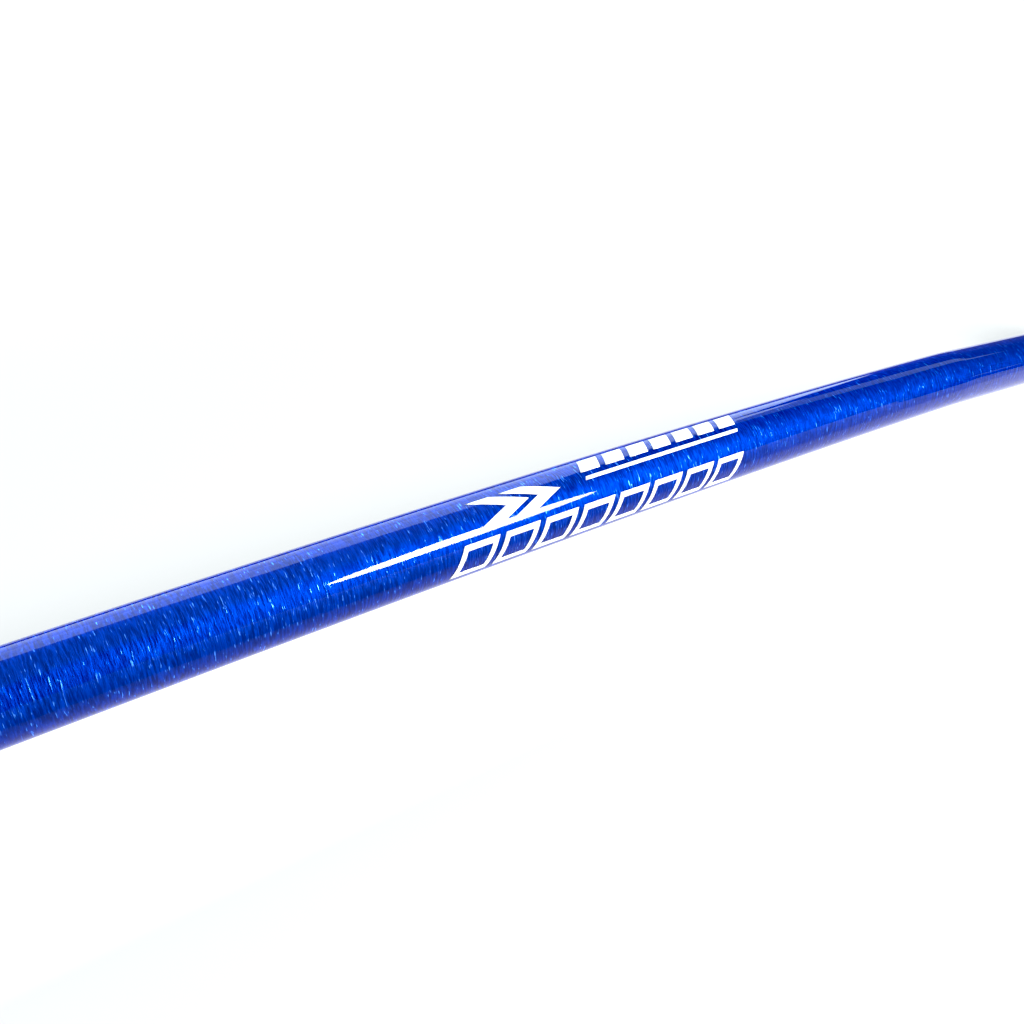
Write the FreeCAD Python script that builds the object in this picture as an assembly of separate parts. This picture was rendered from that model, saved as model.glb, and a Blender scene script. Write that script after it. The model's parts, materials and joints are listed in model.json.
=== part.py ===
"""Sway bar assembly: the bar, its two chassis bushes and saddle brackets, a pair of lateral lock
collars, and a ball-jointed drop link on each arm.

Frame: X runs along the bar (across the vehicle), the arms point to -Y and Z is up. The bracket feet,
the bush bases and the arm ends all stand on Z = 0. Everything is drawn about the bush axis and moved
once, at export, to put the origin at the centre of the bounding box's underside.
Every left-hand piece is the mirror image of its right-hand one.
"""

import FreeCAD, Part
import math
import os

from FreeCAD import Vector

# ---- bar -------------------------------------------------------------------------------------
BAR_R = 13.0                # solid spring steel, 26 mm
AXIS_Z = 22.0               # height of the bush axis over the bracket feet
ARCH_R = 3500.0             # the middle is a long shallow arch
ARCH_ANGLE = 3.43           # degrees that it turns through, on each side of the middle
KNEE_R = 190.0              # a small bend ends the arch
KNEE_ANGLE = 3.25
ARCH_LEAN = 37.6            # degrees that the arch's plane leans from upright, towards the arms
OUTER_RUN = 148.0           # straight run down to the bush seat
SEAT_BEND_R = 110.0
CORNER_X = 463.0            # where the bush seat ends and the corner starts
CORNER_R = 60.0

# ---- forged arm ends -------------------------------------------------------------------------
ARM_REACH = 240.0           # from the bush axis to the outer eye
EYE_PITCH = 30.0            # between the two link settings
EYE_R = 6.2                 # clearance for an M12 stud
PADDLE_T = 12.0
PADDLE_W = 2 * AXIS_Z       # flattening the round bar to 12 mm gives this width
PADDLE_L = 78.0
FORGE_L = 50.0              # from round to flat
FORGE_SECTIONS = 7

# ---- bushes and brackets ---------------------------------------------------------------------
BUSH_X = 435.5
BUSH_R = 21.0
BUSH_L = 38.0
BUSH_CLEARANCE = 0.05       # running fit on the bar
FLANGE_T = 3.5
FLANGE_OUT = 2.5
SLIT_W = 0.6
GREASE_GROOVE_W = 3.0
GREASE_GROOVE_DEPTH = 0.8
GREASE_GROOVE_PITCH = 9.0
STRAP_T = 3.5
STRAP_W = 30.0
FOOT_END = 48.5             # from the bush axis to the end of a foot
FOOT_HOLE_Y = 36.5
FOOT_HOLE_R = 5.25
FOOT_CORNER_R = 9.0
BEND_R = 3.0                # inside radius of a pressed bend

# ---- lateral lock collars --------------------------------------------------------------------
COLLAR_R = 21.5
COLLAR_W = 15.0
COLLAR_GAP = 1.0            # to the bush flange
COLLAR_SPLIT = 1.2
SCREW_Y = 16.9
SCREW_R = 2.5
SCREW_HEAD_R = 4.25
SCREW_HEAD_H = 5.0
SCREW_SEAT_Z = 6.5          # head seat, above the bar's axis
SCREW_END_Z = -11.0
SCREW_SOCKET_AF = 4.0
COLLAR_CHAMFER = 1.0

# ---- drop links; u is measured from a ball's centre along its stud ----------------------------
LINK_L = 160.0              # ball centre to ball centre
ROD_R = 5.5
BALL_R = 8.0
BALL_CLEARANCE = 0.05
BALL_FLAT_U = -7.2
NECK_R = 4.5
LAND_R = 6.5                # where the boot grips the stud
COLLAR_FACE_R = 9.5
NECK_U, LAND_U, SHOULDER_U, FACE_U = 12.0, 13.5, 17.5, 22.5
THREAD_R = 6.0              # M12
NUT_H = 12.0
STUD_STICKOUT = 4.0
STUD_SOCKET_AF = 6.0
STUD_SOCKET_DEPTH = 5.0
STUD_END_U = FACE_U + PADDLE_T + NUT_H + STUD_STICKOUT
HOUSING_R = 16.0
HOUSING_STEP_U = 6.5        # the boot's land starts here
HOUSING_LAND_R = 14.0
HOUSING_FRONT_U = 9.5
HOUSING_BACK_U = -12.0
LIP_R = 10.0
SEAT_R = 12.5
SEAT_FRONT_U, SEAT_BACK_U = 4.5, -9.0
COVER_R = 13.5
COVER_BACK_U = -11.0
ROLLED_R = 12.8             # the housing's edge is rolled in over the cover
NUT_AF = 18.0
NUT_FLANGE_R = 13.0
NUT_FLANGE_T = 2.5

BALL_X = CORNER_X + CORNER_R + PADDLE_T / 2 + FACE_U
ARM_END = ARM_REACH + PADDLE_W / 2
TO_ORIGIN = Vector(0, (ARM_END - FOOT_END) / 2, 0)

X, Y, Z = Vector(1, 0, 0), Vector(0, 1, 0), Vector(0, 0, 1)
FRONT = Vector(0, -1, 0)


# ---- helpers ---------------------------------------------------------------------------------
def polygon(points):
    return Part.Face(Part.makePolygon(points + points[:1]))


def disc(centre, normal, radius):
    return Part.Face(Part.Wire(Part.Circle(centre, normal, radius).toShape()))


def rod(radius, start, end):
    return Part.makeCylinder(radius, (end - start).Length, start, end - start)


def block(low, high):
    size = high - low
    return Part.makeBox(size.x, size.y, size.z, low)


def turned(profile, centre, along):
    """A lathe-turned ring or shaft: profile lists (u, r), with u along the axis from centre."""
    out = X.cross(along) if abs(X.dot(along)) < 0.9 else Z
    points = [centre + along * u + out * r for u, r in profile]
    return polygon(points).revolve(centre, along, 360)


def hexagon(across_flats, centre, along, length):
    reach = across_flats / math.sqrt(3)
    side = Y if abs(along.dot(Y)) < 0.9 else X
    up = along.cross(side)
    angles = [math.radians(60 * i) for i in range(6)]
    points = [centre + (side * math.cos(a) + up * math.sin(a)) * reach for a in angles]
    return polygon(points).extrude(along * length)


def edges_at(solid, direction, test):
    """The straight edges along direction whose middle passes test."""
    found = []
    for edge in solid.Edges:
        if isinstance(edge.Curve, Part.Line) and abs(edge.Curve.Direction.dot(direction)) > 0.999:
            if test(edge.CenterOfMass):
                found.append(edge)
    return found


def near(value, target):
    return abs(value - target) < 0.01


# ---- bar -------------------------------------------------------------------------------------
def bent(place, heading, toward, radius, angle):
    """One bend of round bar, which turns from heading towards toward. Returns its end too."""
    inward = toward - heading * toward.dot(heading)
    inward.normalize()
    axis = heading.cross(inward)
    pivot = place + inward * radius
    solid = disc(place, heading, BAR_R).revolve(pivot, axis, angle)
    turn = FreeCAD.Rotation(axis, angle)
    return solid, pivot + turn.multVec(place - pivot), turn.multVec(heading)


def straight(place, heading, length):
    end = place + heading * length
    return rod(BAR_R, place, end), end, heading


def centre_drop():
    """How far the arch, the knee, the outer run and the bush seat's bend fall, in their plane."""
    arch, knee = math.radians(ARCH_ANGLE), math.radians(ARCH_ANGLE + KNEE_ANGLE)
    fall = ARCH_R * (1 - math.cos(arch)) + KNEE_R * (math.cos(arch) - math.cos(knee))
    return fall + OUTER_RUN * math.sin(knee) + SEAT_BEND_R * (1 - math.cos(knee))


def forge_section(y, share):
    """The bar's outline at y, from round at share 0 to the flat paddle at share 1."""
    corner = BAR_R * math.sqrt(0.5)
    half_t, half_w = PADDLE_T / 2, PADDLE_W / 2
    side_x = BAR_R + (half_t - BAR_R) * share
    corner_x = corner + (half_t - corner) * share
    corner_z = corner + (half_w - half_t - corner) * share
    top_z = BAR_R + (half_w - BAR_R) * share

    def at(x, z):
        return Vector(CORNER_X + CORNER_R + x, y, AXIS_Z + z)

    def side(sign):
        ends = at(sign * corner_x, -sign * corner_z), at(sign * corner_x, sign * corner_z)
        if side_x - corner_x < 1e-6:
            return Part.LineSegment(*ends).toShape()
        return Part.Arc(ends[0], at(sign * side_x, 0), ends[1]).toShape()

    def cap(sign):
        ends = at(sign * corner_x, sign * corner_z), at(-sign * corner_x, sign * corner_z)
        return Part.Arc(ends[0], at(0, sign * top_z), ends[1]).toShape()

    return Part.Wire([side(1), cap(1), side(-1), cap(-1)])


def forged_end():
    """The arm's end: a smooth change from round to flat, then a round-ended paddle with two eyes."""
    flat_y = -(ARM_END - PADDLE_L)
    sections = []
    for i in range(FORGE_SECTIONS):
        t = i / (FORGE_SECTIONS - 1)
        sections.append(forge_section(flat_y + FORGE_L * (1 - t), t * t * (3 - 2 * t)))
    neck = Part.makeLoft(sections, True, False)
    paddle = Part.Face(sections[-1]).extrude(FRONT * PADDLE_L)
    arm_x = CORNER_X + CORNER_R
    low = Vector(arm_x - PADDLE_T, -ARM_REACH, AXIS_Z - PADDLE_W)
    high = Vector(arm_x + PADDLE_T, flat_y, AXIS_Z + PADDLE_W)
    eye = Vector(low.x, -ARM_REACH, AXIS_Z)
    rounded = block(low, high).fuse(Part.makeCylinder(PADDLE_W / 2, 2 * PADDLE_T, eye, X))
    end = neck.fuse(paddle.common(rounded))
    for back in (0, EYE_PITCH):
        end = end.cut(Part.makeCylinder(EYE_R, 2 * PADDLE_T, eye + Y * back, X))
    return end


def bar():
    lean = math.radians(ARCH_LEAN)
    down = Vector(0, math.sin(lean), -math.cos(lean))
    knee = ARCH_ANGLE + KNEE_ANGLE
    place, heading, pieces = Vector(0, 0, AXIS_Z) - down * centre_drop(), X, []

    def add(step):
        pieces.append(step[0])
        return step[1:]

    place, heading = add(bent(place, heading, down, ARCH_R, ARCH_ANGLE))
    place, heading = add(bent(place, heading, down, KNEE_R, KNEE_ANGLE))
    place, heading = add(straight(place, heading, OUTER_RUN))
    place, heading = add(bent(place, heading, down * -1, SEAT_BEND_R, knee))
    place, heading = Vector(place.x, 0, AXIS_Z), X
    place, heading = add(straight(place, heading, CORNER_X - place.x))
    place, heading = add(bent(place, heading, FRONT, CORNER_R, 90))
    arm = ARM_END - PADDLE_L - FORGE_L - CORNER_R
    add(straight(place, FRONT, arm))
    half = pieces[0].multiFuse(pieces[1:] + [forged_end()])
    return half.fuse(half.mirror(Vector(), X)).removeSplitter()


# ---- bushes and brackets ---------------------------------------------------------------------
def arched_block(reach, x_low, x_high):
    """A block with a round top, centred on the bush axis, standing on Z = 0."""
    top = Part.makeCylinder(reach, x_high - x_low, Vector(x_low, 0, AXIS_Z), X)
    top = top.common(block(Vector(x_low, -reach, AXIS_Z), Vector(x_high, reach, AXIS_Z + reach)))
    return top.fuse(block(Vector(x_low, -reach, 0), Vector(x_high, reach, AXIS_Z))).removeSplitter()


def bush():
    low, high = BUSH_X - BUSH_L / 2, BUSH_X + BUSH_L / 2
    solid = arched_block(BUSH_R, low, high)
    for edge in (low, high - FLANGE_T):
        solid = solid.fuse(arched_block(BUSH_R + FLANGE_OUT, edge, edge + FLANGE_T))
    bore = BAR_R + BUSH_CLEARANCE
    solid = solid.cut(Part.makeCylinder(bore, BUSH_L, Vector(low, 0, AXIS_Z), X))
    for step in (-1, 0, 1):
        start = Vector(BUSH_X + step * GREASE_GROOVE_PITCH - GREASE_GROOVE_W / 2, 0, AXIS_Z)
        solid = solid.cut(Part.makeCylinder(bore + GREASE_GROOVE_DEPTH, GREASE_GROOVE_W, start, X))
    reach = BUSH_R + FLANGE_OUT
    slit = block(Vector(low, 0, AXIS_Z - SLIT_W / 2), Vector(high, reach, AXIS_Z + SLIT_W / 2))
    return solid.cut(slit).removeSplitter()


def bracket():
    low, high = BUSH_X - STRAP_W / 2, BUSH_X + STRAP_W / 2
    outer = BUSH_R + STRAP_T
    solid = arched_block(outer, low, high)
    solid = solid.fuse(block(Vector(low, -FOOT_END, 0), Vector(high, FOOT_END, STRAP_T)))
    solid = solid.cut(arched_block(BUSH_R, low, high)).removeSplitter()
    inner_bend = edges_at(solid, X, lambda p: near(abs(p.y), outer) and near(p.z, STRAP_T))
    solid = solid.makeFillet(BEND_R, inner_bend)
    outer_bend = edges_at(solid, X, lambda p: near(abs(p.y), BUSH_R) and near(p.z, 0))
    solid = solid.makeFillet(BEND_R + STRAP_T - 0.5, outer_bend)
    corners = edges_at(solid, Z, lambda p: near(abs(p.y), FOOT_END))
    solid = solid.makeFillet(FOOT_CORNER_R, corners)
    for side in (-1, 1):
        hole = Part.makeCylinder(FOOT_HOLE_R, STRAP_T, Vector(BUSH_X, side * FOOT_HOLE_Y, 0), Z)
        solid = solid.cut(hole)
    return solid


# ---- lateral lock collars --------------------------------------------------------------------
def collar_x():
    high = BUSH_X - BUSH_L / 2 - COLLAR_GAP
    return high - COLLAR_W, high


def screw_hole(y, radius, low, high):
    middle = sum(collar_x()) / 2
    return rod(radius, Vector(middle, y, AXIS_Z + low), Vector(middle, y, AXIS_Z + high))


def collar_half(side):
    """The upper (side 1) or lower (side -1) half of the clamp collar."""
    low, high = collar_x()
    start = Vector(low, 0, AXIS_Z)
    solid = Part.makeCylinder(COLLAR_R, COLLAR_W, start, X)
    solid = solid.makeChamfer(COLLAR_CHAMFER, [e for e in solid.Edges if isinstance(e.Curve, Part.Circle)])
    solid = solid.cut(Part.makeCylinder(BAR_R, COLLAR_W, start, X))
    reach = 2 * COLLAR_R
    gap = side * COLLAR_SPLIT / 2
    heights = sorted((gap, side * reach))
    half = block(Vector(low, -reach, AXIS_Z + heights[0]), Vector(high, reach, AXIS_Z + heights[1]))
    solid = solid.common(half)
    for y in (-SCREW_Y, SCREW_Y):
        solid = solid.cut(screw_hole(y, SCREW_R, SCREW_END_Z, reach))
        solid = solid.cut(screw_hole(y, SCREW_HEAD_R + 0.25, SCREW_SEAT_Z, reach))
    return solid


def collar_screws():
    """Two socket-head cap screws, which pull the collar's halves together."""
    screws = []
    for y in (-SCREW_Y, SCREW_Y):
        top = SCREW_SEAT_Z + SCREW_HEAD_H
        screw = screw_hole(y, SCREW_R, SCREW_END_Z, SCREW_SEAT_Z)
        screw = screw.fuse(screw_hole(y, SCREW_HEAD_R, SCREW_SEAT_Z, top))
        middle = Vector(sum(collar_x()) / 2, y, AXIS_Z + top)
        screws.append(screw.cut(hexagon(SCREW_SOCKET_AF, middle, Z * -1, SCREW_HEAD_H / 2)))
    return Part.makeCompound(screws)


# ---- drop links ------------------------------------------------------------------------------
INBOARD = X * -1            # both studs of the right-hand link point inboard


def ball_centre(upper):
    return Vector(BALL_X, -ARM_REACH, AXIS_Z + (LINK_L if upper else 0))


def stud(centre):
    profile = [
        (0, 0),
        (0, NECK_R),
        (NECK_U, NECK_R),
        (LAND_U, LAND_R),
        (SHOULDER_U, LAND_R),
        (SHOULDER_U, COLLAR_FACE_R),
        (FACE_U, COLLAR_FACE_R),
        (FACE_U, THREAD_R),
        (STUD_END_U - 1, THREAD_R),
        (STUD_END_U, THREAD_R - 1),
        (STUD_END_U, 0),
    ]
    solid = turned(profile, centre, INBOARD).fuse(Part.makeSphere(BALL_R, centre))
    flat = rod(BALL_R, centre + INBOARD * (2 * BALL_FLAT_U), centre + INBOARD * BALL_FLAT_U)
    end = centre + INBOARD * STUD_END_U
    socket = hexagon(STUD_SOCKET_AF, end, INBOARD * -1, STUD_SOCKET_DEPTH)
    return solid.cut(flat).cut(socket).removeSplitter()


def seat(centre):
    """The plastic cup that the ball turns in: it reaches past the ball's middle and holds it."""
    cup = rod(SEAT_R, centre + INBOARD * SEAT_BACK_U, centre + INBOARD * SEAT_FRONT_U)
    return cup.cut(Part.makeSphere(BALL_R + BALL_CLEARANCE, centre))


def housing(centre):
    profile = [
        (HOUSING_BACK_U, ROLLED_R),
        (HOUSING_BACK_U, HOUSING_R - 1),
        (HOUSING_BACK_U + 1, HOUSING_R),
        (HOUSING_STEP_U, HOUSING_R),
        (HOUSING_STEP_U, HOUSING_LAND_R),
        (HOUSING_FRONT_U, HOUSING_LAND_R),
        (HOUSING_FRONT_U, LIP_R),
        (SEAT_FRONT_U, LIP_R),
        (SEAT_FRONT_U, SEAT_R),
        (SEAT_BACK_U, SEAT_R),
        (SEAT_BACK_U, COVER_R),
        (COVER_BACK_U, COVER_R),
        (COVER_BACK_U, ROLLED_R),
    ]
    return turned(profile, centre, INBOARD)


def cover(centre):
    dome = COVER_BACK_U - 0.8
    profile = [
        (SEAT_BACK_U, 0),
        (SEAT_BACK_U, COVER_R),
        (COVER_BACK_U, COVER_R),
        (COVER_BACK_U, ROLLED_R - 1),
        (dome, ROLLED_R - 4),
        (dome, 0),
    ]
    return turned(profile, centre, INBOARD)


def boot(centre):
    """A rubber boot from the housing's land to the stud's land, as one plain ring."""
    profile = [
        (HOUSING_STEP_U + 0.2, HOUSING_LAND_R),
        (HOUSING_STEP_U + 0.2, 15.0),
        (9.6, 15.0),
        (11.2, 15.6),
        (12.8, 14.2),
        (13.8, 10.0),
        (14.4, 8.0),
        (16.6, 8.0),
        (17.2, 8.4),
        (17.2, LAND_R + 0.3),
        (13.9, LAND_R + 0.3),
        (12.9, 8.5),
        (12.0, 12.0),
        (10.9, 13.6),
        (HOUSING_FRONT_U, 13.0),
        (HOUSING_FRONT_U, HOUSING_LAND_R),
    ]
    return turned(profile, centre, INBOARD)


def boot_clip(centre):
    """The small wire ring that holds the boot to the stud."""
    profile = [(14.8, 8.3), (14.8, 9.4), (15.9, 9.4), (15.9, 8.3)]
    return turned(profile, centre, INBOARD)


def boot_band(centre):
    """The large ring that holds the boot to the housing."""
    profile = [(7.3, 15.0), (7.3, 16.0), (8.8, 16.0), (8.8, 15.0)]
    return turned(profile, centre, INBOARD)


def link_rod():
    low, high = ball_centre(False), ball_centre(True)
    solid = rod(ROD_R, low, high)
    for centre in (low, high):
        back = centre + INBOARD * HOUSING_BACK_U
        solid = solid.cut(rod(HOUSING_R, back, centre + INBOARD * HOUSING_STEP_U))
    return solid


def flange_nut():
    face = ball_centre(False) + INBOARD * (FACE_U + PADDLE_T)
    flange = [
        (0, THREAD_R),
        (0, NUT_FLANGE_R),
        (1, NUT_FLANGE_R),
        (NUT_FLANGE_T + 1, NUT_AF / 2),
        (NUT_FLANGE_T + 1, THREAD_R),
    ]
    chamfer = [
        (0, 0),
        (0, NUT_FLANGE_R),
        (NUT_H - 2.2, NUT_FLANGE_R - 1),
        (NUT_H, NUT_AF / 2),
        (NUT_H, 0),
    ]
    body = hexagon(NUT_AF, face, INBOARD, NUT_H).common(turned(chamfer, face, INBOARD))
    body = body.cut(rod(THREAD_R, face, face + INBOARD * NUT_H))
    return body.fuse(turned(flange, face, INBOARD)).removeSplitter()


# ---- export ----------------------------------------------------------------------------------
def right_hand_pieces():
    """Every piece that comes as a left and a right: name to solid."""
    pieces = {
        "bush": bush(),
        "bracket": bracket(),
        "collar_upper": collar_half(1),
        "collar_lower": collar_half(-1),
        "collar_screws": collar_screws(),
        "link_rod": link_rod(),
        "lower_nut": flange_nut(),
    }
    makers = {
        "stud": stud,
        "seat": seat,
        "housing": housing,
        "cover": cover,
        "boot": boot,
        "boot_clip": boot_clip,
        "boot_band": boot_band,
    }
    for end, upper in (("lower", False), ("upper", True)):
        for name, make in makers.items():
            pieces[f"{end}_{name}"] = make(ball_centre(upper))
    return pieces


def export(name, shape):
    placed = shape.copy()
    placed.translate(TO_ORIGIN)
    placed.exportStep(f"parts/{name}.step")


def main():
    os.makedirs("parts", exist_ok=True)
    export("bar", bar())
    for name, shape in right_hand_pieces().items():
        export(f"{name}_right", shape)
        export(f"{name}_left", shape.mirror(Vector(), X))


main()
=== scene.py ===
import json
import math

import bmesh
import bpy
from mathutils import Matrix, Vector
from mathutils.kdtree import KDTree

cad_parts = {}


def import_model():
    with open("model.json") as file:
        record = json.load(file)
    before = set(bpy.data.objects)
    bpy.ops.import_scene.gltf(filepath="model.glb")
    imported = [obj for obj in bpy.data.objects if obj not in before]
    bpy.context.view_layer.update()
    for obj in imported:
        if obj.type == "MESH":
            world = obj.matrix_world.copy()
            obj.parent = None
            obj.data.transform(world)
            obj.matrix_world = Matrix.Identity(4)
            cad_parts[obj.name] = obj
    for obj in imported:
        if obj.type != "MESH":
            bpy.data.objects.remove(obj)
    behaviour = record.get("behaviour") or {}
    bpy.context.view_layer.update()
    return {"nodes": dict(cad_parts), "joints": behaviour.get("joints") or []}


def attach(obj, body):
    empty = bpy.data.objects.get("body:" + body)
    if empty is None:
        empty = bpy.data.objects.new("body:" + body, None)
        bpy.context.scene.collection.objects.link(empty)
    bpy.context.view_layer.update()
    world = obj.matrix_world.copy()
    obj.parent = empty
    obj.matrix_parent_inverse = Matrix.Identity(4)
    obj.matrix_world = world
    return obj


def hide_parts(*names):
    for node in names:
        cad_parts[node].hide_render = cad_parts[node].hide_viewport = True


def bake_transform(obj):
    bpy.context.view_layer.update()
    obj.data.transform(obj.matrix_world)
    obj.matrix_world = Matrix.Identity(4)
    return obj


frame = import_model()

# A sway bar with its bushes, saddle brackets, lock collars and ball-jointed drop links.
# X runs across the vehicle, the arms point to -Y and Z is up.

# ---- sizes, in metres, the same as the CAD model's ---------------------------------------------
MM = 0.001
SIDES = {"left": -1, "right": 1}
ENDS = ("lower", "upper")
JOINTS = {j["name"]: j for j in frame["joints"]}
AXIS = Vector(JOINTS["bar_roll"]["pos_m"])         # the bush axis, half way between the bushes
BALLS = {
    (end, side): Vector(JOINTS[name + side]["pos_m"])
    for end, name in (("lower", "link_tilt_"), ("upper", "upper_stud_tilt_"))
    for side in SIDES
}

BAR_R = 13 * MM
ARCH_R, ARCH_ANGLE = 3.5, math.radians(3.43)
KNEE_R, KNEE_ANGLE = 0.19, math.radians(3.25)
ARCH_LEAN = math.radians(37.6)
OUTER_RUN = 0.148
SEAT_BEND_R = 0.11
CORNER_X, CORNER_R = 0.463, 0.06
ARM_REACH = 0.24
EYE_PITCH = 0.03
EYE_R = 6.2 * MM
PADDLE_T, PADDLE_W, PADDLE_L = 0.012, 0.044, 0.078
FORGE_L = 0.05

NECK_R, LAND_R, SHOULDER_R, THREAD_R = 4.5 * MM, 6.5 * MM, 9.5 * MM, 6 * MM
NECK_U, LAND_U, SHOULDER_U, FACE_U, STUD_END_U = 0.012, 0.0135, 0.0175, 0.0225, 0.0505
BALL_R, BALL_FLAT = 8 * MM, 7.2 * MM
THREAD_PITCH, THREAD_DEPTH = 1.5 * MM, 0.8 * MM
NUT_AF, NUT_H, NUT_FLANGE_R = 0.018, 0.012, 0.013
ROD_R, HOUSING_R = 5.5 * MM, 16 * MM

RING = 96                   # points round a turned or swept piece
FORGE_STEPS, PADDLE_STEPS, TIP_STEPS = 24, 14, 24
X, Y, Z = Vector((1, 0, 0)), Vector((0, 1, 0)), Vector((0, 0, 1))


# ---- mesh helpers ------------------------------------------------------------------------------
def new_object(name, verts, faces, smooth_angle=35):
    mesh = bpy.data.meshes.new(name)
    mesh.from_pydata(verts, [], faces)
    bm = bmesh.new()
    bm.from_mesh(mesh)
    bmesh.ops.remove_doubles(bm, verts=bm.verts, dist=1e-7)
    bmesh.ops.recalc_face_normals(bm, faces=bm.faces)
    bm.to_mesh(mesh)
    bm.free()
    mesh.shade_smooth()
    mesh.set_sharp_from_angle(angle=math.radians(smooth_angle))
    obj = bpy.data.objects.new(name, mesh)
    bpy.context.scene.collection.objects.link(obj)
    return obj


def grid_faces(rows, columns, closed_rows=False):
    """Quads over rows of points that close on themselves; the rows can close into a ring too."""
    faces = []
    for i in range(rows if closed_rows else rows - 1):
        here, there = i * columns, (i + 1) % rows * columns
        for k in range(columns):
            after = (k + 1) % columns
            faces.append((here + k, here + after, there + after, there + k))
    return faces


def spun(name, rings, centre, along, closed=False, ring=RING, smooth_angle=35):
    """A turned piece. rings lists (u, r): r is a radius, or a function of the angle round the axis.
    A closed piece joins its last ring to its first, and an open one starts and ends at radius 0."""
    side = Y if abs(along.dot(Y)) < 0.9 else X
    up = along.cross(side)
    verts = []
    for u, r in rings:
        for k in range(ring):
            a = math.tau * k / ring
            reach = r(a) if callable(r) else r
            verts.append(centre + along * u + (side * math.cos(a) + up * math.sin(a)) * reach)
    return new_object(name, verts, grid_faces(len(rings), ring, closed), smooth_angle)


def eased(profile, radius, steps=3, closed=True):
    """The profile with each corner rounded off, as a turned or pressed edge is."""
    points = [Vector(p) for p in profile]
    out = []
    for i, here in enumerate(points):
        if not closed and i in (0, len(points) - 1):
            out.append(tuple(here))
            continue
        back, on = points[i - 1] - here, points[(i + 1) % len(points)] - here
        cut = min(radius, 0.45 * back.length, 0.45 * on.length)
        start, end = here + back.normalized() * cut, here + on.normalized() * cut
        for s in range(steps + 1):
            t = s / steps
            mid = here * (2 * t * (1 - t)) + start * (1 - t) ** 2 + end * t * t
            out.append(tuple(mid))
    return out


def hexed(across_flats, limit=1.0):
    """Radius of a hexagon at an angle, cut off at limit as a turned chamfer does."""
    sixth = math.tau / 6

    def radius(a):
        return min(across_flats / 2 / math.cos(a % sixth - sixth / 2), limit)

    return radius


def apply_modifiers(obj):
    graph = bpy.context.evaluated_depsgraph_get()
    mesh = bpy.data.meshes.new_from_object(obj.evaluated_get(graph))
    obj.modifiers.clear()
    obj.data = mesh


# ---- material helpers --------------------------------------------------------------------------
RANGE_SOCKETS = ("From Min", "From Max", "To Min", "To Max")


class Shader:
    """One procedural material, built up a node at a time."""

    def __init__(self, name, colour, metallic=0.0, roughness=0.5, **sockets):
        self.material = bpy.data.materials.new(name)
        self.material.use_nodes = True
        self.material.diffuse_color = (*colour, 1)
        self.nodes = self.material.node_tree.nodes
        self.links = self.material.node_tree.links
        self.bsdf = self.nodes["Principled BSDF"]
        self.put("Base Color", (*colour, 1))
        self.put("Metallic", metallic)
        self.put("Roughness", roughness)
        for socket, value in sockets.items():
            self.put(socket.replace("_", " "), value)

    def put(self, socket, value):
        self.bsdf.inputs[socket].default_value = value

    def add(self, kind, **settings):
        node = self.nodes.new("ShaderNode" + kind)
        for key, value in settings.items():
            setattr(node, key, value)
        return node

    def place(self, scale, attribute=None):
        """Coordinates in metres times scale: the piece's own, or those in a mesh attribute."""
        if attribute:
            source = self.add("Attribute", attribute_name=attribute).outputs["Vector"]
        else:
            source = self.add("TexCoord").outputs["Object"]
        mapping = self.add("Mapping")
        mapping.inputs["Scale"].default_value = scale
        self.links.new(source, mapping.inputs["Vector"])
        return mapping.outputs["Vector"]

    def noise(self, vector, detail=2.0, rough=0.5, scale=1.0):
        node = self.add("TexNoise")
        node.inputs["Scale"].default_value = scale
        node.inputs["Detail"].default_value = detail
        node.inputs["Roughness"].default_value = rough
        self.links.new(vector, node.inputs["Vector"])
        return node.outputs["Fac"]

    def ramp(self, value, low, high, out_low=0.0, out_high=1.0):
        node = self.add("MapRange", interpolation_type="SMOOTHSTEP")
        self.links.new(value, node.inputs["Value"])
        for socket, number in zip(RANGE_SOCKETS, (low, high, out_low, out_high)):
            node.inputs[socket].default_value = number
        return node.outputs["Result"]

    def mix(self, fac, a, b, data="RGBA"):
        node = self.add("Mix", data_type=data)
        number = {"FLOAT": 2, "RGBA": 6}[data]
        for socket, value in ((0, fac), (number, a), (number + 1, b)):
            if isinstance(value, bpy.types.NodeSocket):
                self.links.new(value, node.inputs[socket])
            elif data == "RGBA" and socket:
                node.inputs[socket].default_value = (*value, 1)
            else:
                node.inputs[socket].default_value = value
        return node.outputs[{"FLOAT": 0, "RGBA": 2}[data]]

    def drive(self, socket, value):
        self.links.new(value, self.bsdf.inputs[socket])

    def bump(self, height, strength, distance, after=None, socket="Normal"):
        node = self.add("Bump")
        node.inputs["Strength"].default_value = strength
        node.inputs["Distance"].default_value = distance
        self.links.new(height, node.inputs["Height"])
        if after:
            self.links.new(after, node.inputs["Normal"])
        self.links.new(node.outputs["Normal"], self.bsdf.inputs[socket])
        return node.outputs["Normal"]


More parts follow.
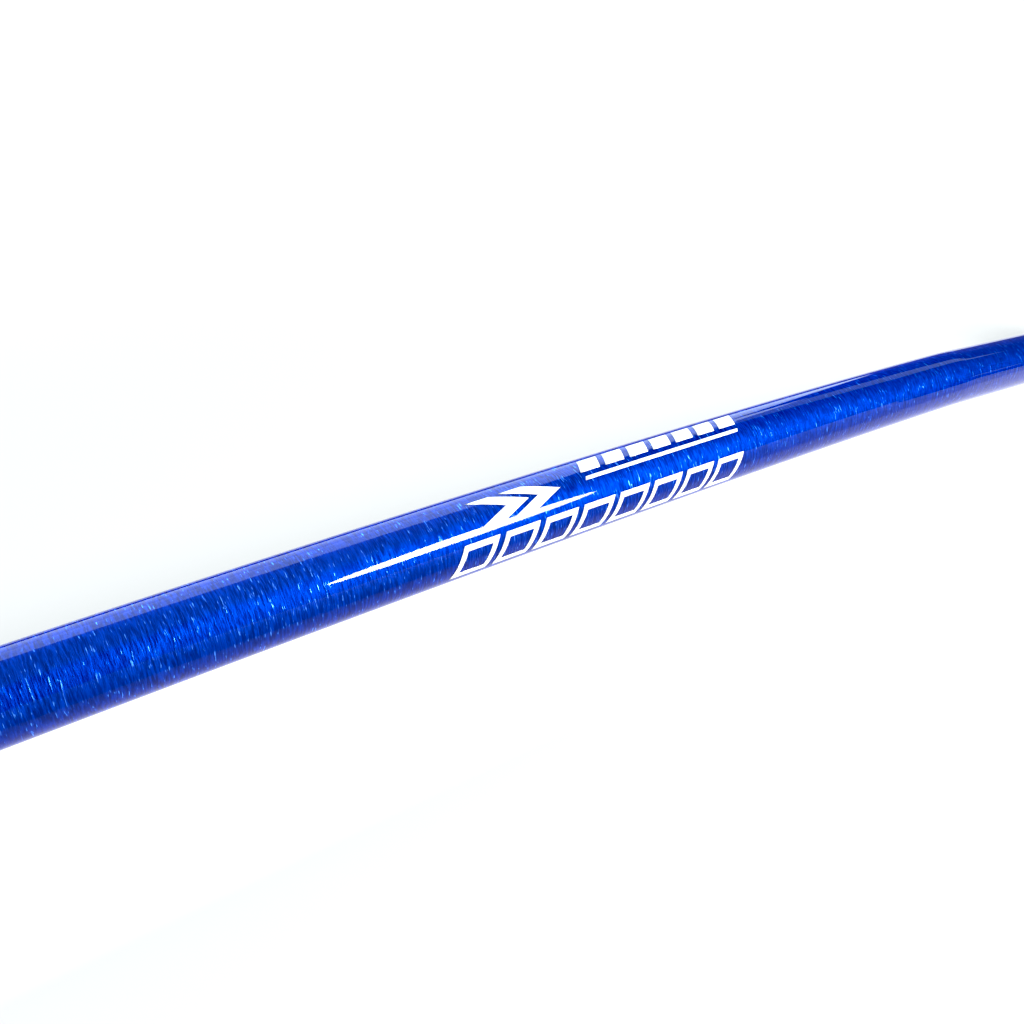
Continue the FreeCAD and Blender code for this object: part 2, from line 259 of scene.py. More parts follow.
def candy_blue():
    """Candy blue over brushed steel: fine marks run round the bar, under a smooth clear coat."""
    s = Shader(
        "candy_blue", (0.003, 0.03, 0.28), 0.95, 0.6, Specular_IOR_Level=0.0,
        Specular_Tint=(0.1, 0.25, 1, 1), Coat_Weight=1.0, Coat_Roughness=0.025, Coat_IOR=1.28,
    )
    marks = s.noise(s.place((1600, 260, 260), "straightened"), 2, 0.5)
    flecks = s.noise(s.place((2000, 300, 300), "straightened"), 1, 0.5)
    cloud = s.noise(s.place((70, 60, 60), "straightened"), 3, 0.55)
    peel = s.noise(s.place((260, 200, 200), "straightened"), 1, 0.4)
    streaks = s.mix(s.ramp(marks, 0.34, 0.68), (0.0012, 0.016, 0.15), (0.0036, 0.044, 0.38))
    tone = s.mix(s.ramp(cloud, 0.3, 0.7, 0, 0.45), streaks, (0.0025, 0.028, 0.27))
    # Painted glints: sparse flecks on the lighter marks get a bright pale-blue base colour that
    # stands in for sparkle. Their bump and lower roughness are the flakes' own texture.
    painted_glint = s.mix(s.ramp(flecks, 0.63, 0.73), 0.0, s.ramp(marks, 0.46, 0.6), "FLOAT")
    s.drive("Base Color", s.mix(painted_glint, tone, (0.07, 0.28, 0.95)))
    s.drive("Roughness", s.mix(painted_glint, 0.6, 0.4, "FLOAT"))
    s.bump(flecks, 0.6, 0.0002, s.bump(marks, 0.6, 0.0003))
    s.bump(peel, 0.12, 0.00006, socket="Coat Normal")
    return s.material


def decal_white():
    s = Shader("decal_white", (0.86, 0.87, 0.88), 0, 0.3, Coat_Weight=0.6, Coat_Roughness=0.05)
    cloud = s.noise(s.place((300, 300, 300)), 3)
    s.drive("Base Color", s.mix(s.ramp(cloud, 0.3, 0.7), (0.84, 0.85, 0.87), (0.9, 0.9, 0.9)))
    s.drive("Roughness", s.ramp(cloud, 0.3, 0.7, 0.26, 0.36))
    return s.material


def rubber(name, grain):
    s = Shader(name, (0.02, 0.02, 0.021), 0, 0.6, Specular_IOR_Level=0.35)
    fine = s.noise(s.place((grain,) * 3), 4, 0.6)
    cloud = s.noise(s.place((60, 60, 60)), 3)
    tone = s.mix(s.ramp(cloud, 0.3, 0.75), (0.014, 0.014, 0.015), (0.034, 0.034, 0.035))
    s.drive("Base Color", tone)
    s.drive("Roughness", s.ramp(cloud, 0.3, 0.7, 0.52, 0.72))
    s.bump(fine, 0.25, 0.0002)
    return s.material


def zinc_plate():
    """Zinc over pressed steel: faint spangle, rolling marks and a slight blue-yellow cast."""
    s = Shader("zinc_plate", (0.66, 0.67, 0.68), 1, 0.32)
    cloud = s.noise(s.place((120, 120, 120)), 3, 0.6)
    rolled = s.noise(s.place((900, 60, 900)), 2)
    s.drive("Base Color", s.mix(s.ramp(cloud, 0.3, 0.7), (0.25, 0.27, 0.31), (0.42, 0.42, 0.39)))
    s.drive("Roughness", s.mix(s.ramp(rolled, 0.3, 0.7), 0.3, 0.46, "FLOAT"))
    s.bump(rolled, 0.12, 0.0001)
    return s.material


def turned_metal(name, low, high, scale, rough=(0.2, 0.34)):
    """Metal off a lathe: fine marks lie across scale's largest axis."""
    s = Shader(name, high, 1, sum(rough) / 2)
    cloud = s.noise(s.place((90, 90, 90)), 3)
    marks = s.noise(s.place(scale), 3, 0.65)
    s.drive("Base Color", s.mix(s.ramp(cloud, 0.3, 0.7), low, high))
    s.drive("Roughness", s.ramp(marks, 0.3, 0.7, *rough))
    s.bump(marks, 0.15, 0.00008)
    return s.material


def black_coat(name, rough, peel):
    """Satin black electrocoat or powder, with faint orange peel and dust-grey high spots."""
    s = Shader(name, (0.012, 0.012, 0.013), 0, rough, Coat_Weight=0.15, Coat_Roughness=0.25)
    cloud = s.noise(s.place((80, 80, 80)), 4, 0.6)
    skin = s.noise(s.place((peel,) * 3), 2)
    tone = s.mix(s.ramp(cloud, 0.35, 0.75), (0.007, 0.007, 0.008), (0.018, 0.018, 0.019))
    s.drive("Base Color", tone)
    s.drive("Roughness", s.ramp(cloud, 0.3, 0.7, rough - 0.07, rough + 0.08))
    s.bump(skin, 0.2, 0.0002)
    return s.material


def acetal():
    s = Shader("acetal", (0.8, 0.79, 0.74), 0, 0.42, Subsurface_Weight=0.1)
    cloud = s.noise(s.place((150, 150, 150)), 3)
    s.drive("Base Color", s.mix(s.ramp(cloud, 0.3, 0.7), (0.76, 0.74, 0.68), (0.84, 0.83, 0.8)))
    s.drive("Roughness", s.ramp(cloud, 0.3, 0.7, 0.36, 0.48))
    return s.material


# ---- the bar -----------------------------------------------------------------------------------
def arch_down():
    """The way that the bar's middle falls towards its ends."""
    return Vector((0, math.sin(ARCH_LEAN), -math.cos(ARCH_LEAN)))


def crown():
    """The bar's highest point of line, half way along it."""
    arch, knee = ARCH_ANGLE, ARCH_ANGLE + KNEE_ANGLE
    fall = ARCH_R * (1 - math.cos(arch)) + KNEE_R * (math.cos(arch) - math.cos(knee))
    fall += OUTER_RUN * math.sin(knee) + SEAT_BEND_R * (1 - math.cos(knee))
    return AXIS - arch_down() * fall


def half_line():
    """Stations along the right half of the bar: (place, heading, distance along the bar)."""
    place, heading, along = crown(), X.copy(), 0.0
    stations = [(place, heading, along)]

    def bend(toward, radius, angle, steps):
        nonlocal place, heading, along
        inward = (toward - heading * toward.dot(heading)).normalized()
        pivot = place + inward * radius
        spin = heading.cross(inward)
        start, first = place - pivot, heading
        for i in range(1, steps + 1):
            turned = angle * i / steps
            turn = Matrix.Rotation(turned, 3, spin)
            stations.append((pivot + turn @ start, turn @ first, along + radius * turned))
        place, heading, along = stations[-1]

    def run(length, steps):
        nonlocal place, along
        start, before = place, along
        for i in range(1, steps + 1):
            gone = length * i / steps
            stations.append((start + heading * gone, heading, before + gone))
        place, _, along = stations[-1]

    down = arch_down()
    bend(down, ARCH_R, ARCH_ANGLE, 42)
    bend(down, KNEE_R, KNEE_ANGLE, 6)
    run(OUTER_RUN, 20)
    bend(-down, SEAT_BEND_R, ARCH_ANGLE + KNEE_ANGLE, 6)
    heading = X.copy()
    run(CORNER_X - place.x, 10)
    bend(-Y, CORNER_R, math.pi / 2, 30)
    heading = -Y
    run(ARM_REACH + PADDLE_W / 2 - PADDLE_L - FORGE_L - CORNER_R, 10)
    return stations


def bow(chord, rise, share):
    """A point on an arc over a chord: share runs -1 to 1. Returns (along, out)."""
    if rise < 1e-7:
        return chord * share, 0.0
    radius = (chord * chord + rise * rise) / (2 * rise)
    angle = math.atan2(chord, radius - rise) * share
    return radius * math.sin(angle), radius * math.cos(angle) - (radius - rise)


def forged_outline(share):
    """The arm's section as (x, z) points, from round at share 0 to the flat paddle at share 1."""
    corner = BAR_R * math.sqrt(0.5)
    half_t, half_w = PADDLE_T / 2, PADDLE_W / 2
    corner_x = corner + (half_t - corner) * share
    corner_z = corner + (half_w - half_t - corner) * share
    side_rise = (BAR_R - corner) * (1 - share)
    cap_rise = BAR_R + (half_w - BAR_R) * share - corner_z
    quarter = RING // 4
    points = []
    for k in range(RING):
        edge, step = divmod((k + quarter // 2) % RING, quarter)
        share_here = 2 * step / quarter - 1
        if edge % 2 == 0:
            along, out = bow(corner_z, side_rise, share_here)
            x, z = corner_x + out, along
        else:
            along, out = bow(corner_x, cap_rise, share_here)
            x, z = -along, corner_z + out
        points.append((x, z) if edge < 2 else (-x, -z))
    return points


def paddle_end_outline(past):
    """The paddle's section at a distance past the outer eye: its edges are rounded over."""
    half_t, half_w = PADDLE_T / 2, PADDLE_W / 2
    height = math.sqrt(max(half_w**2 - past**2, 0))
    points = []
    for x, z in forged_outline(1):
        z *= height / half_w
        inside = half_w - math.hypot(z, past)
        sunk = max(half_t - inside, 0)
        points.append((math.copysign(math.sqrt(max(half_t**2 - sunk**2, 0)), x), z))
    return points


def half_rings():
    """Rings of points along the right half of the bar, and each point's straightened place."""
    rings, straightened = [], []
    for place, heading, along in half_line():
        up = (Z - heading * heading.z).normalized()
        side = up.cross(heading)
        ring, flat = [], []
        for k in range(RING):
            a = math.tau * k / RING
            ring.append(place + (side * math.cos(a) + up * math.sin(a)) * -BAR_R)
            flat.append(Vector((along, BAR_R * math.cos(a), BAR_R * math.sin(a))))
        rings.append(ring)
        straightened.append(flat)
    arm_x, eye_y = CORNER_X + CORNER_R, AXIS.y - ARM_REACH
    flat_y = AXIS.y - (ARM_REACH + PADDLE_W / 2 - PADDLE_L)
    outlines = []
    for i in range(1, FORGE_STEPS + 1):
        t = i / FORGE_STEPS
        outlines.append((flat_y + FORGE_L * (1 - t), forged_outline(t * t * (3 - 2 * t))))
    for i in range(1, PADDLE_STEPS + 1):
        outlines.append((flat_y + (eye_y - flat_y) * i / PADDLE_STEPS, forged_outline(1)))
    for i in range(1, TIP_STEPS + 1):
        past = PADDLE_W / 2 * math.sin(math.pi / 2 * i / TIP_STEPS)
        outlines.append((eye_y - past, paddle_end_outline(past)))
    start_y, start_along = rings[-1][0].y, straightened[-1][0].x
    for y, outline in outlines:
        rings.append([Vector((arm_x - x, y, AXIS.z - z)) for x, z in outline])
        flat = [Vector((start_along + start_y - y, x, z)) for x, z in outline]
        straightened.append(flat)
    return rings, straightened


def eye_cutter(x, y):
    """A plug that cuts one eye, with a small countersink on both faces."""
    half, flare, over = PADDLE_T / 2, 0.7 * MM, 2 * MM
    reach, wide = half + over, EYE_R + flare + over
    rings = [
        (-reach, 0), (-reach, wide), (-half + flare, EYE_R),
        (half - flare, EYE_R), (reach, wide), (reach, 0),
    ]
    return spun("cutter", rings, Vector((x, y, AXIS.z)), X)


def sway_bar():
    right, flat = half_rings()
    left = [[Vector((-p.x, p.y, p.z)) for p in ring] for ring in right]
    left_flat = [[Vector((-p.x, p.y, p.z)) for p in ring] for ring in flat]
    rings = left[:0:-1] + right
    straightened = left_flat[:0:-1] + flat
    verts = [p for ring in rings for p in ring]
    bar = new_object("bar_painted", verts, grid_faces(len(rings), RING), 40)
    for side in SIDES.values():
        for back in (0, EYE_PITCH):
            cutter = eye_cutter(side * (CORNER_X + CORNER_R), AXIS.y - ARM_REACH + back)
            cut = bar.modifiers.new("eye", "BOOLEAN")
            cut.operation, cut.object, cut.solver = "DIFFERENCE", cutter, "EXACT"
            apply_modifiers(bar)
            bpy.data.objects.remove(cutter)
    bar.data.set_sharp_from_angle(angle=math.radians(35))
    store_straightened(bar, verts, [p for ring in straightened for p in ring])
    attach(bar, "sway_bar")
    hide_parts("bar")
    return bar


def store_straightened(obj, verts, values):
    """Keeps each point's place on the bar as if it were straight, for marks that run round it."""
    tree = KDTree(len(verts))
    for i, vert in enumerate(verts):
        tree.insert(vert, i)
    tree.balance()
    attribute = obj.data.attributes.new("straightened", "FLOAT_VECTOR", "POINT")
    for i, vertex in enumerate(obj.data.vertices):
        attribute.data[i].vector = values[tree.find(vertex.co)[1]]


# ---- the graphic on the bar --------------------------------------------------------------------
DECAL_LIFT, DECAL_T = 0.09 * MM, 0.07 * MM
PATCH_STEP = 2.5            # mm along the bar or degrees round it
DEGREES_PER_MM = 4.4        # round the bar's surface


def on_bar(along, angle, lift):
    """A point on the bar's middle stretch: angle is from the top round to the arms' side."""
    arch_length = ARCH_R * ARCH_ANGLE
    bend = max(-arch_length, min(arch_length, along)) / ARCH_R
    past = along - bend * ARCH_R
    down = arch_down()
    heading = X * math.cos(bend) + down * math.sin(bend)
    place = crown() + X * ARCH_R * math.sin(bend) + down * ARCH_R * (1 - math.cos(bend))
    place = place + heading * past
    up = (Z - heading * heading.z).normalized()
    out = up * math.cos(angle) + heading.cross(up) * math.sin(angle)
    return place + out * (BAR_R + lift)


def patch(corners):
    """A four-cornered patch as rows of (along, angle) points, fine enough to follow the bar."""
    a, b, c, d = (Vector(p) for p in corners)
    across = max(2, int(max(abs(v) for v in (*(b - a), *(c - d))) / PATCH_STEP))
    down = max(2, int(max(abs(v) for v in (*(d - a), *(c - b))) / PATCH_STEP))
    rows = []
    for i in range(down + 1):
        v = i / down
        left, right = a.lerp(d, v), b.lerp(c, v)
        rows.append([left.lerp(right, j / across) for j in range(across + 1)])
    return rows


def transfer(name, patches):
    """Thin white vinyl on the bar, made of four-cornered patches given in mm and degrees."""
    verts, faces = [], []
    for corners in patches:
        rows = patch(corners)
        base, columns = len(verts), len(rows[0])
        for row in rows:
            verts += [on_bar(p[0] * MM, math.radians(p[1]), DECAL_LIFT) for p in row]
        for i in range(len(rows) - 1):
            for j in range(columns - 1):
                k = base + i * columns + j
                faces.append((k, k + 1, k + columns + 1, k + columns))
    obj = new_object(name, verts, faces, 60)
    solid = obj.modifiers.new("thickness", "SOLIDIFY")
    solid.thickness, solid.offset = DECAL_T, 0
    apply_modifiers(obj)
    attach(obj, "sway_bar")
    return obj


def slanted(start, end, top, bottom, slant):
    """Corners of a block that leans by slant mm from bottom to top."""
    return [(start + slant, top), (end + slant, top), (end, bottom), (start, bottom)]


def outlined(start, end, top, bottom, slant, line):
    """The same block as four strips round an open middle."""
    o = slanted(start, end, top, bottom, slant)
    lean = slant / (bottom - top)
    rise = line * DEGREES_PER_MM
    inner_top, inner_bottom = top + rise, bottom - rise
    shift_top, shift_bottom = slant - lean * rise, lean * rise
    n = [
        (start + line + shift_top, inner_top),
        (end - line + shift_top, inner_top),
        (end - line + shift_bottom, inner_bottom),
        (start + line + shift_bottom, inner_bottom),
    ]
    return [
        [o[0], o[1], n[1], n[0]],
        [o[1], o[2], n[2], n[1]],
        [o[2], o[3], n[3], n[2]],
        [o[3], o[0], n[0], n[3]],
    ]


def graphics():
    """A row of outlined blocks, and above it two chevrons, a row of dashes and a thin line."""
    made = []
    blocks, block_w, gap = 8, 13.6, 2.6
    for i in range(blocks):
        start = -76 + i * (block_w + gap)
        strips = outlined(start, start + block_w, 72, 122, 5.5, 2.0)
        made.append(transfer(f"graphic_block_{i + 1}", strips))
    dashes, dash_w, pitch = 7, 8.6, 11.3
    for i in range(dashes):
        start = -18 + i * pitch
        dash = slanted(start, start + dash_w, -6, 22, 3.0)
        made.append(transfer(f"graphic_dash_{i + 1}", [dash]))
    made.append(transfer("graphic_pinstripe", [slanted(-18, 57, 31, 37, 0.8)]))
    chevrons, arm_w, pitch = 2, 9, 13
    for i in range(chevrons):
        tail, tip = -64 + i * pitch, -51 + i * pitch
        upper = [(tail, 12), (tail + arm_w, 12), (tip + arm_w, 35), (tip, 35)]
        lower = [(tip, 35), (tip + arm_w, 35), (tail + arm_w, 58), (tail, 58)]
        made.append(transfer(f"graphic_chevron_{i + 1}", [upper, lower]))
    return made


# ---- drop links --------------------------------------------------------------------------------
def thread_rings(start, end, step_per_turn=10):
    """Rings of a helical thread, which fades in and out over one turn at each end."""
    count = int((end - start) / THREAD_PITCH * step_per_turn)
    rings = []
    for i in range(count + 1):
        u = start + (end - start) * i / count
        fade = min(1, (u - start) / THREAD_PITCH, (end - u) / THREAD_PITCH)

        def radius(a, u=u, fade=fade):
            phase = (u / THREAD_PITCH - a / math.tau) % 1
            valley = min(1, max(0, 1.3 * (1 - abs(2 * phase - 1)) - 0.12))
            return THREAD_R - THREAD_DEPTH * fade * valley

        rings.append((u, radius))
    return rings


def ball_stud(end, side):
    inboard = X * -SIDES[side]
    name = f"{end}_stud_{side}"
    rings = [(-BALL_FLAT, 0), (-BALL_FLAT, math.sqrt(BALL_R**2 - BALL_FLAT**2))]
    first, last = math.acos(-BALL_FLAT / BALL_R), math.asin(NECK_R / BALL_R)
    for i in range(1, 33):
        a = first + (last - first) * i / 32
        rings.append((BALL_R * math.cos(a), BALL_R * math.sin(a)))
    body = [
        (NECK_U - 3 * MM, NECK_R), (NECK_U, NECK_R), (LAND_U, LAND_R), (SHOULDER_U, LAND_R),
        (SHOULDER_U, SHOULDER_R), (FACE_U, SHOULDER_R), (FACE_U, THREAD_R),
        (FACE_U + 1 * MM, THREAD_R),
    ]
    rings += eased(body, 0.4 * MM, closed=False)
    rings += thread_rings(FACE_U + 1.2 * MM, STUD_END_U - 1 * MM)
    socket = hexed(6 * MM)
    rings += [(STUD_END_U, 5 * MM), (STUD_END_U, 3.9 * MM), (STUD_END_U - 0.4 * MM, socket)]
    rings += [(STUD_END_U - 5 * MM, socket), (STUD_END_U - 6 * MM, 0)]
    stud = spun(name + "_turned", rings, BALLS[end, side], inboard)
    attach(stud, "sway_bar" if end == "lower" else f"upper_stud_{side}")
    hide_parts(name)
    return stud


def flange_nut(side):
    inboard = X * -SIDES[side]
    start = BALLS["lower", side] + inboard * (FACE_U + PADDLE_T)
    bore = THREAD_R + 0.05 * MM
    rings = [
        (0.4 * MM, NUT_FLANGE_R - 0.3 * MM), (0.9 * MM, NUT_FLANGE_R),
        (1.5 * MM, NUT_FLANGE_R - 0.2 * MM), (3.2 * MM, hexed(NUT_AF, 10.6 * MM)),
        (3.8 * MM, hexed(NUT_AF)), (10.4 * MM, hexed(NUT_AF)),
    ]
    for i in range(1, 5):
        rings.append(((10.4 + 0.4 * i) * MM, hexed(NUT_AF, (10.5 - 0.45 * i) * MM)))
    rings += [(NUT_H, 7.2 * MM), (11.3 * MM, bore), (0.8 * MM, bore), (0.0, 6.9 * MM)]
    rings.append((0.0, NUT_FLANGE_R - 0.8 * MM))
    nut = spun(f"lower_nut_{side}_hex", rings, start, inboard, closed=True)
    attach(nut, "sway_bar")
    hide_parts(f"lower_nut_{side}")
    return nut


def boot(end, side):
    """A moulded rubber boot: a cuff on the housing, one full fold, and a lip on the stud."""
    inboard = X * -SIDES[side]
    outer = [
        (6.75, 14.1), (6.75, 15.0), (7.2, 15.2), (7.5, 15.0), (8.6, 15.0), (8.9, 15.35),
        (9.6, 15.5), (10.6, 15.7), (11.7, 15.5), (12.6, 14.6), (13.2, 13.0), (13.6, 11.2),
        (13.9, 9.6), (14.3, 8.4), (14.8, 7.9), (16.0, 7.9), (16.4, 8.3), (17.2, 8.3),
    ]
    inner = [
        (17.2, 6.55), (14.2, 6.55), (13.4, 7.4), (12.9, 9.0), (12.5, 11.0), (12.0, 13.0),
        (11.2, 14.0), (10.4, 14.2), (9.55, 13.4), (9.55, 14.05),
    ]
    rings = [(u * MM, r * MM) for u, r in eased(outer + inner, 0.5, 2)]
    made = spun(f"{end}_boot_{side}_moulded", rings, BALLS[end, side], inboard, closed=True)
    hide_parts(f"{end}_boot_{side}")
    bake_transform(made)
    return made


def housing(end, side):
    """The forged and turned ball housing, with its back edge rolled in over the cover."""
    inboard = X * -SIDES[side]
    profile = [
        (-12.0, 12.8), (-12.15, 13.6), (-11.9, 14.6), (-11.0, 15.7), (-9.8, 16.0), (6.5, 16.0),
        (6.5, 14.0), (7.1, 13.8), (7.6, 14.0), (9.5, 14.0), (9.5, 10.0), (4.5, 10.0),
        (4.5, 12.5), (-9.0, 12.5), (-9.0, 13.5), (-11.0, 13.5), (-11.1, 12.8),
    ]
    rings = [(u * MM, r * MM) for u, r in eased(profile, 0.35, 2)]
    made = spun(f"{end}_housing_{side}_turned", rings, BALLS[end, side], inboard, closed=True)
    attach(made, f"link_{side}")
    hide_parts(f"{end}_housing_{side}")
    return made


def ring_piece(end, side, kind, profile, body):
    inboard = X * -SIDES[side]
    rings = [(u * MM, r * MM) for u, r in eased(profile, 0.3, 4)]
    made = spun(f"{end}_{kind}_{side}_ring", rings, BALLS[end, side], inboard, closed=True)
    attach(made, body)
    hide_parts(f"{end}_{kind}_{side}")
    return made


def link_rod(side):
    low, high = BALLS["lower", side], BALLS["upper", side]
    length = (high - low).length
    hidden = HOUSING_R - 0.8 * MM
    rings = [(hidden, 0), (hidden, ROD_R)]
    rings += [(hidden + (length - 2 * hidden) * i / 24, ROD_R) for i in range(1, 25)]
    rings.append((length - hidden, 0))
    made = spun(f"link_rod_{side}_drawn", rings, low, Z)
    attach(made, f"link_{side}")
    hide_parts(f"link_rod_{side}")
    return made


def weld_bead(end, side):
    """The rippled weld where the rod meets its housing, along the curve where the two cross."""
    centre = BALLS[end, side]
    away = 1 if end == "lower" else -1
    bead, ripples, around, section = 1.425 * MM, 26, 156, 12
    radius = ROD_R + 0.2 * MM
    verts = []
    for i in range(around):
        a = math.tau * i / around
        swell = 1 + 0.16 * abs(math.sin(a * ripples / 2)) + 0.08 * math.sin(a * 3 + 1)
        out = Vector((math.cos(a), math.sin(a), 0))
        height = math.sqrt(HOUSING_R**2 - (radius * math.sin(a)) ** 2) + 0.1 * MM
        middle = centre + out * radius + Z * away * height
        for k in range(section):
            b = math.tau * k / section
            verts.append(middle + (out * math.cos(b) + Z * away * math.sin(b)) * bead * swell)
    made = new_object(f"weld_{end}_{side}", verts, grid_faces(around, section, True), 80)
    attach(made, f"link_{side}")
    return made


# ---- putting it together -----------------------------------------------------------------------
def paint(obj, material):
    obj.data.materials.clear()
    obj.data.materials.append(material)


def links(materials):
    clip = [(14.85, 8.0), (14.85, 9.2), (15.9, 9.2), (15.9, 8.0)]
    band = [(7.45, 15.0), (7.45, 16.0), (8.65, 16.0), (8.65, 15.0)]
    for side in SIDES:
        for end in ENDS:
            paint(ball_stud(end, side), materials["stud"])
            paint(boot(end, side), materials["boot"])
            paint(housing(end, side), materials["link"])
            paint(weld_bead(end, side), materials["weld"])
            paint(ring_piece(end, side, "boot_clip", clip, f"{end}_clip_{side}"), materials["zinc"])
            paint(ring_piece(end, side, "boot_band", band, f"link_{side}"), materials["zinc"])
        paint(link_rod(side), materials["link"])
        paint(flange_nut(side), materials["zinc"])


def cad_nodes(materials):
    """New materials for the CAD nodes whose shape is kept."""
    looks = {
        "bush": "bush", "bracket": "zinc", "collar_upper": "collar", "collar_lower": "collar",
        "collar_screws": "screw",
    }
    looks.update({f"{end}_seat": "acetal" for end in ENDS})
    looks.update({f"{end}_cover": "cover" for end in ENDS})
    for name, look in looks.items():
        for side in SIDES:
            paint(frame["nodes"][f"{name}_{side}"], materials[look])


def make_materials():
    steel = ((0.26, 0.26, 0.27), (0.4, 0.39, 0.37))
    aluminium = ((0.46, 0.47, 0.49), (0.58, 0.59, 0.6))
    cover = ((0.3, 0.31, 0.33), (0.42, 0.42, 0.42))
    oxide = ((0.02, 0.02, 0.023), (0.05, 0.05, 0.055))
    satin = (0.26, 0.42)
    return {
        "bar": candy_blue(),
        "decal": decal_white(),
        "bush": rubber("bush_rubber_skin", 1400),
        "boot": rubber("boot_rubber_skin", 2200),
        "zinc": zinc_plate(),
        "cover": turned_metal("cover_steel", *cover, (2600, 2600, 2600)),
        "collar": turned_metal("turned_aluminium", *aluminium, (3000, 160, 160), satin),
        "screw": turned_metal("black_oxide_steel", *oxide, (900, 900, 900)),
        "stud": turned_metal("stud_steel_turned", *steel, (2600, 200, 200), satin),
        "link": black_coat("link_black", 0.38, 1500),
        "weld": black_coat("weld_black", 0.46, 700),
        "acetal": acetal(),
    }


# ---- camera, light and floor -------------------------------------------------------------------
CAMERA_FROM_CROWN = Vector((-0.21897, -0.24339, 0.15682))
CAMERA_YAW, CAMERA_PITCH = math.radians(35.76), math.radians(27.217)
CAMERA_F = 995 / 1024 * 36           # focal length on a 36 mm wide sensor


def camera():
    data = bpy.data.cameras.new("camera")
    data.lens, data.sensor_width = CAMERA_F, 36
    data.clip_start, data.clip_end = 0.01, 150
    cam = bpy.data.objects.new("camera", data)
    cam.location = crown() + CAMERA_FROM_CROWN
    cam.rotation_euler = (math.pi / 2 - CAMERA_PITCH, 0, -CAMERA_YAW)
    bpy.context.scene.collection.objects.link(cam)
    bpy.context.scene.camera = cam


def towards(azimuth, elevation):
    """A direction: azimuth is from +Y round to +X."""
    a, e = math.radians(azimuth), math.radians(elevation)
    return Vector((math.sin(a) * math.cos(e), math.cos(a) * math.cos(e), math.sin(e)))


def lamp(name, place, target, size, power, colour=(1, 1, 1), shape="RECTANGLE"):
    data = bpy.data.lights.new(name, "AREA")
    data.shape, (data.size, data.size_y) = shape, size
    data.energy, data.color = power, colour
    obj = bpy.data.objects.new(name, data)
    obj.location = place
    obj.rotation_euler = (target - place).to_track_quat("-Z", "Y").to_euler()
    obj.visible_camera = False
    bpy.context.scene.collection.objects.link(obj)


def lights():
    """A bright window in front, and a pale wall behind that is dim past its right end."""
    lit = crown() + X * -0.07
    window_distance, wall_distance = 1.5, 1.9
    window = lit + towards(151, 26) * window_distance
    lamp("window", window, lit, (0.6, 0.42), 38, shape="ELLIPSE")
    wall, sideways = towards(20, 0), towards(110, 0)
    middle = lit + wall * wall_distance
    cool = (0.78, 0.97, 1)
    foot = middle - sideways * 1.0 + Z * 0.95
    head = middle - sideways * 0.8 + Z * 2.6
    far = middle + sideways * 3.25 + Z * 2.3
    lamp("wall_low", foot, foot - wall, (5.0, 1.1), 46, cool)
    lamp("wall_high", head, head - wall, (5.5, 2.2), 143, cool)
    lamp("wall_far", far, far - wall, (2.7, 1.3), 9, cool)


def world():
    """A dim room with a pale ceiling, and a white edge where the floor ends."""
    studio = bpy.data.worlds.new("studio")
    bpy.context.scene.world = studio
    studio.use_nodes = True
    nodes, links = studio.node_tree.nodes, studio.node_tree.links
    split = nodes.new("ShaderNodeSeparateXYZ")
    links.new(nodes.new("ShaderNodeTexCoord").outputs["Generated"], split.inputs[0])

    def fade(start, end, low, high):
        node = nodes.new("ShaderNodeMapRange")
        node.interpolation_type = "SMOOTHSTEP"
        for socket, value in zip(RANGE_SOCKETS, (start, end, low, high)):
            node.inputs[socket].default_value = value
        links.new(split.outputs["Z"], node.inputs["Value"])
        return node.outputs["Result"]

    total = nodes.new("ShaderNodeMath")
    links.new(fade(0.0, 0.025, 0.6, 0.11), total.inputs[0])
    links.new(fade(0.72, 0.9, 0.0, 0.9), total.inputs[1])
    links.new(total.outputs[0], nodes["Background"].inputs["Strength"])
    nodes["Background"].inputs["Color"].default_value = (0.97, 0.98, 1, 1)


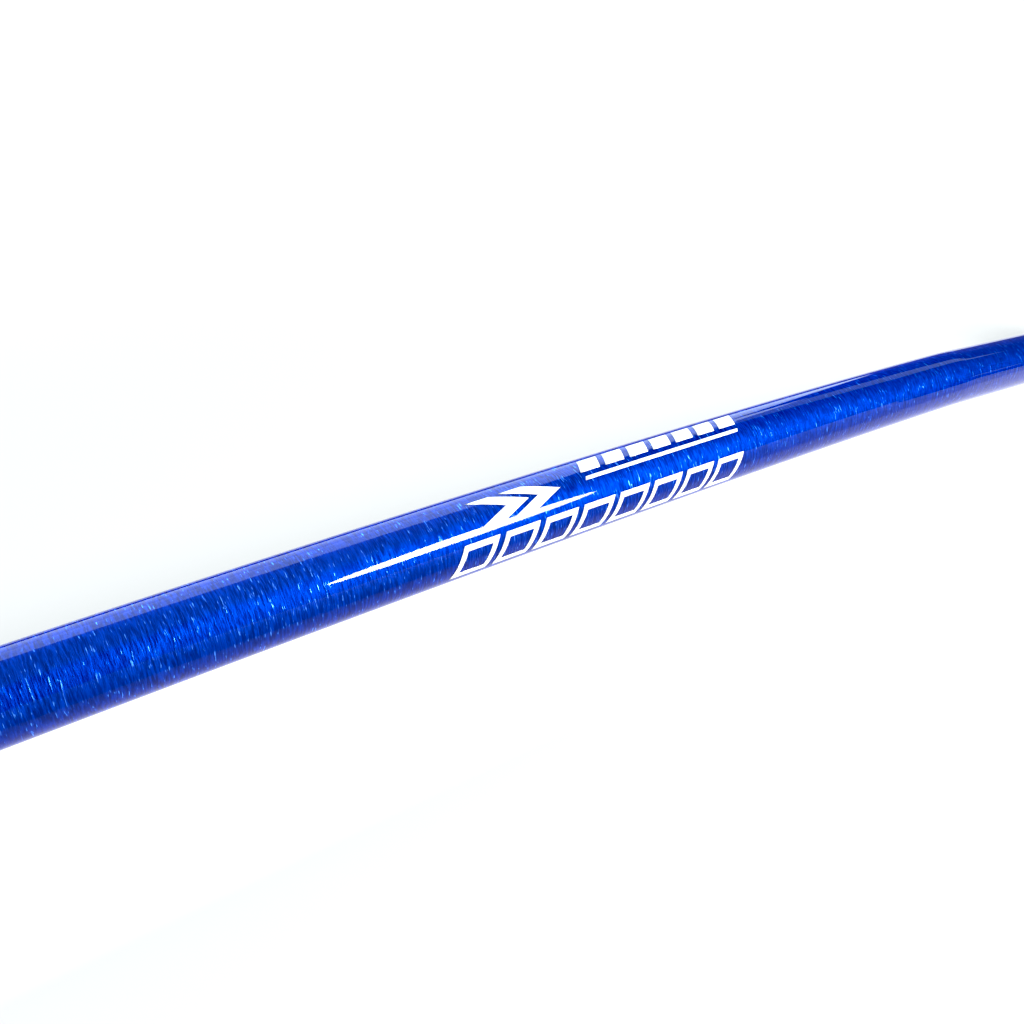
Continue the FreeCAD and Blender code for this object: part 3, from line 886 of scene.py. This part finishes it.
def floor():
    """A pale floor that glows a little, more in the distance and in a strip under the bar."""
    mesh = bpy.data.meshes.new("floor")
    reach = 60
    corners = [(-reach, -reach, 0), (reach, -reach, 0), (reach, reach, 0), (-reach, reach, 0)]
    mesh.from_pydata(corners, [], [(0, 1, 2, 3)])
    obj = bpy.data.objects.new("floor", mesh)
    bpy.context.scene.collection.objects.link(obj)
    s = Shader("floor_white", (0.24, 0.24, 0.24), 0, 0.9, Specular_IOR_Level=0.1)
    place = s.add("TexCoord").outputs["Object"]
    distance = s.add("VectorMath", operation="LENGTH")
    s.links.new(place, distance.inputs[0])
    split = s.add("SeparateXYZ")
    s.links.new(place, split.inputs[0])
    from_bar = s.add("Math", operation="SUBTRACT")
    from_bar.inputs[1].default_value = crown().y
    s.links.new(split.outputs["Y"], from_bar.inputs[0])
    off_line = s.add("Math", operation="ABSOLUTE")
    s.links.new(from_bar.outputs[0], off_line.inputs[0])
    glow = s.add("Math", operation="ADD")
    s.links.new(s.ramp(distance.outputs["Value"], 0.3, 2.0, 0.4, 0.8), glow.inputs[0])
    s.links.new(s.ramp(off_line.outputs[0], 0.04, 0.06, 0.5, 0.0), glow.inputs[1])
    s.put("Emission Color", (1, 1, 1, 1))
    s.drive("Emission Strength", glow.outputs[0])
    paint(obj, s.material)


def backdrop():
    """A white dome, seen only behind the object: it lights and mirrors in nothing."""
    rings = [(-1.0, 0.0), (-0.9, 55.0), (20.0, 51.0), (38.0, 40.0), (50.0, 22.0), (55.0, 0.0)]
    dome = spun("backdrop", rings, Vector(), Z, ring=48, smooth_angle=180)
    dome.visible_diffuse = dome.visible_glossy = dome.visible_transmission = False
    dome.visible_volume_scatter = dome.visible_shadow = False
    s = Shader("backdrop_white", (0, 0, 0), 0, 1, Specular_IOR_Level=0.0)
    s.put("Emission Color", (1, 1, 1, 1))
    s.put("Emission Strength", 0.82)
    paint(dome, s.material)


def develop():
    """The levels of a bright catalogue picture: the pale floor reaches white."""
    view = bpy.context.scene.view_settings
    view.view_transform = "Standard"
    view.use_curve_mapping = True
    view.curve_mapping.black_level = (0.018,) * 3
    view.curve_mapping.white_level = (0.78,) * 3
    view.curve_mapping.update()


camera()
MATERIALS = make_materials()
paint(sway_bar(), MATERIALS["bar"])
for piece in graphics():
    paint(piece, MATERIALS["decal"])
links(MATERIALS)
cad_nodes(MATERIALS)
floor()
backdrop()
lights()
world()
develop()
bpy.context.view_layer.update()
